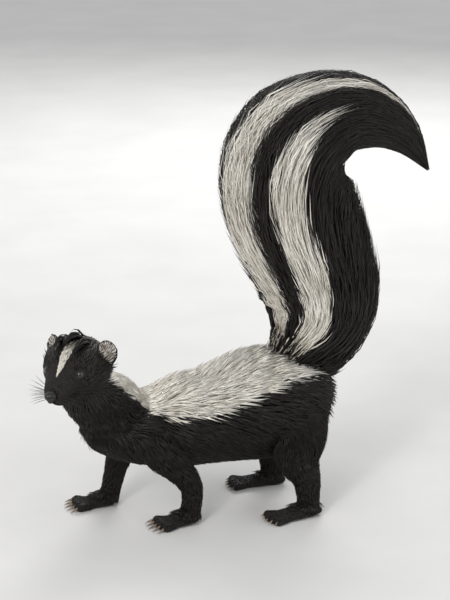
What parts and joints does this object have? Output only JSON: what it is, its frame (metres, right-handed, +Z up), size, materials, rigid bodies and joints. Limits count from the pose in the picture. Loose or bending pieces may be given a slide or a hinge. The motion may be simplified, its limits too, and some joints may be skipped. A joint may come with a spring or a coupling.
{
  "type": "striped skunk",
  "caption": "Still life-size striped skunk standing in a slow walk, head turned to its left, white saddle, and long bushy two-banded tail raised in an S.",
  "frame": {"origin": "middle of the whole model's box in X and Y, on the floor under the paws", "axes": "-X towards the animal's front, -Y to its left side, +Z up"},
  "size_m": [0.4386, 0.1588, 0.4634],
  "materials": {
    "black_fur": "long black guard hair, soft sheen",
    "white_fur": "long off-white guard hair",
    "ear_skin": "thin short-haired skin",
    "paw_skin": "short hair, bare pads and horn claws",
    "nose_skin": "moist bare skin",
    "eye": "wet, near black"
  },
  "bodies": {
    "root": {"torso": "black_fur", "back_stripe": "white_fur", "neck": "black_fur", "nape_stripe": "white_fur", "head": "black_fur", "blaze": "white_fur", "lower_jaw": "black_fur", "nose": "nose_skin", "eye_left": "eye", "ear_left": "ear_skin", "eye_right": "eye", "ear_right": "ear_skin", "forepaw_left": "paw_skin", "forepaw_right": "paw_skin", "hindpaw_left": "paw_skin", "hindpaw_right": "paw_skin", "foreleg_left": "black_fur", "foreleg_right": "black_fur", "hindleg_left": "black_fur", "hindleg_right": "black_fur", "tail_root": "black_fur", "tail_root_stripe_left": "white_fur", "tail_root_stripe_right": "white_fur", "tail_lower": "black_fur", "tail_lower_stripe_left": "white_fur", "tail_lower_stripe_right": "white_fur", "tail_middle": "black_fur", "tail_middle_stripe_left": "white_fur", "tail_middle_stripe_right": "white_fur", "tail_upper": "black_fur", "tail_upper_stripe_left": "white_fur", "tail_upper_stripe_right": "white_fur", "tail_tip": "black_fur", "tail_tip_stripe_right": "white_fur"}
  },
  "joints": []
}
